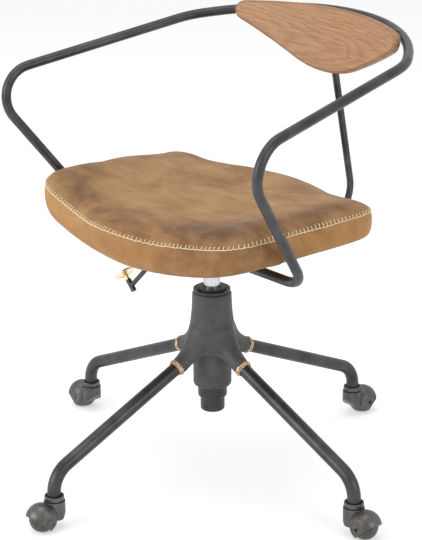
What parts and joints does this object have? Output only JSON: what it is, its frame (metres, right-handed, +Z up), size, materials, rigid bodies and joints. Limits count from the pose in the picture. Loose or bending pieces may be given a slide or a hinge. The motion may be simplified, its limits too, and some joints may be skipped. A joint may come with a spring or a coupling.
{
  "type": "swivel armchair",
  "caption": "Swivel office armchair with a saddle seat in stitched leather, a bent tube arm and back rail, a curved oak back panel, a gas lift and a cast hub with tube legs on ball casters.",
  "frame": {"origin": "on the floor, under the axis of the gas lift", "axes": "+Z up, -Y the way the chair faces, +X toward the sitter's left hand"},
  "size_m": [0.7698, 0.7698, 0.7496],
  "materials": {
    "hub_iron": "rough cast, painted",
    "frame_steel": "satin, rubbed",
    "column_steel": "satin",
    "braze": "rough fillet",
    "black_plastic": "matte",
    "lift_chrome": "polished",
    "bright_steel": "machined",
    "caster_metal": "antique, satin",
    "caster_tread": "hard tread",
    "black_plate": "satin",
    "brass_part": "polished",
    "dark_screw": "dark",
    "oak": "oiled oak",
    "plywood": "plain",
    "foam": "upholstery foam",
    "leather": "aged, waxed"
  },
  "bodies": {
    "base": {"base_hub": "hub_iron", "leg_left": "frame_steel", "leg_rear": "frame_steel", "leg_right": "frame_steel", "leg_front": "frame_steel", "braze_beads": "braze", "gas_column": "column_steel", "guide_bush": "black_plastic", "hub_collar": "black_plastic", "column_cap": "column_steel", "bearing_washer": "bright_steel", "bearing_balls": "bright_steel", "caster_cups": "caster_metal", "caster_seals": "black_plastic"},
    "swivel": {"piston_rod": "bright_steel", "bearing_race": "bright_steel", "rod_clip": "bright_steel"},
    "seat": {"gas_cylinder": "lift_chrome", "taper_socket": "black_plate", "mounting_plate": "black_plate", "lever_box": "black_plate", "lever_pin": "dark_screw", "seat_bolts": "dark_screw", "seat_spacers": "bright_steel", "tee_nuts": "bright_steel", "arm_back_tube": "frame_steel", "tube_splice": "bright_steel", "bar_saddles": "black_plate", "plate_screws": "dark_screw", "back_post": "frame_steel", "back_bracket": "frame_steel", "bracket_screws": "dark_screw", "rail_spacers": "frame_steel", "rail_screws": "dark_screw", "back_panel": "oak", "post_clamp": "black_plate", "seat_board": "plywood", "seat_foam": "foam", "seat_cover": "leather"},
    "lever": {"lever_rod": "frame_steel", "lever_tee": "frame_steel", "lever_stem": "brass_part", "lever_disc": "brass_part"},
    "valve": {"valve_button": "bright_steel"},
    "caster_left": {"caster_hood_left": "caster_metal", "caster_stem_left": "bright_steel", "caster_axle_left": "caster_metal"},
    "wheel_left": {"caster_wheel_left": "caster_tread"},
    "caster_rear": {"caster_hood_rear": "caster_metal", "caster_stem_rear": "bright_steel", "caster_axle_rear": "caster_metal"},
    "wheel_rear": {"caster_wheel_rear": "caster_tread"},
    "caster_right": {"caster_hood_right": "caster_metal", "caster_stem_right": "bright_steel", "caster_axle_right": "caster_metal"},
    "wheel_right": {"caster_wheel_right": "caster_tread"},
    "caster_front": {"caster_hood_front": "caster_metal", "caster_stem_front": "bright_steel", "caster_axle_front": "caster_metal"},
    "wheel_front": {"caster_wheel_front": "caster_tread"}
  },
  "joints": [
    {"name": "seat_swivel", "type": "hinge", "parent": "base", "child": "swivel", "pos_m": [0, 0, 0.14], "axis": [0, 0, 1], "continuous": true},
    {"name": "seat_height", "type": "slide", "parent": "swivel", "child": "seat", "axis": [0, 0, 1], "range_m": [-0.02, 0.08]},
    {"name": "lever_lift", "type": "hinge", "parent": "seat", "child": "lever", "pos_m": [-0.032, 0, 0.402], "axis": [0, 1, 0], "range_deg": [0, 5.5], "stiffness_Nm_per_rad": 3, "springref_deg": -8.59},
    {"name": "valve_press", "type": "slide", "parent": "seat", "child": "valve", "axis": [0, 0, -1], "range_m": [0, 0.0031], "stiffness_N_per_m": 400, "springref_m": -0.002},
    {"name": "caster_turn_left", "type": "hinge", "parent": "base", "child": "caster_left", "pos_m": [0.33434, 0.00642, 0.048], "axis": [0, 0, 1], "continuous": true},
    {"name": "wheel_spin_left", "type": "hinge", "parent": "caster_left", "child": "wheel_left", "pos_m": [0.35933, 0.0069, 0.021], "axis": [-0.0192, 0.9998, 0], "continuous": true},
    {"name": "caster_turn_rear", "type": "hinge", "parent": "base", "child": "caster_rear", "pos_m": [-0.00642, 0.33434, 0.048], "axis": [0, 0, 1], "continuous": true},
    {"name": "wheel_spin_rear", "type": "hinge", "parent": "caster_rear", "child": "wheel_rear", "pos_m": [-0.0069, 0.35933, 0.021], "axis": [-0.9998, -0.0192, 0], "continuous": true},
    {"name": "caster_turn_right", "type": "hinge", "parent": "base", "child": "caster_right", "pos_m": [-0.33434, -0.00642, 0.048], "axis": [0, 0, 1], "continuous": true},
    {"name": "wheel_spin_right", "type": "hinge", "parent": "caster_right", "child": "wheel_right", "pos_m": [-0.35933, -0.0069, 0.021], "axis": [0.0192, -0.9998, 0], "continuous": true},
    {"name": "caster_turn_front", "type": "hinge", "parent": "base", "child": "caster_front", "pos_m": [0.00642, -0.33434, 0.048], "axis": [0, 0, 1], "continuous": true},
    {"name": "wheel_spin_front", "type": "hinge", "parent": "caster_front", "child": "wheel_front", "pos_m": [0.0069, -0.35933, 0.021], "axis": [0.9998, 0.0192, 0], "continuous": true}
  ],
  "couplings": [
    {"joint": "valve_press", "follows": "lever_lift", "m_per_rad": 0.032}
  ]
}
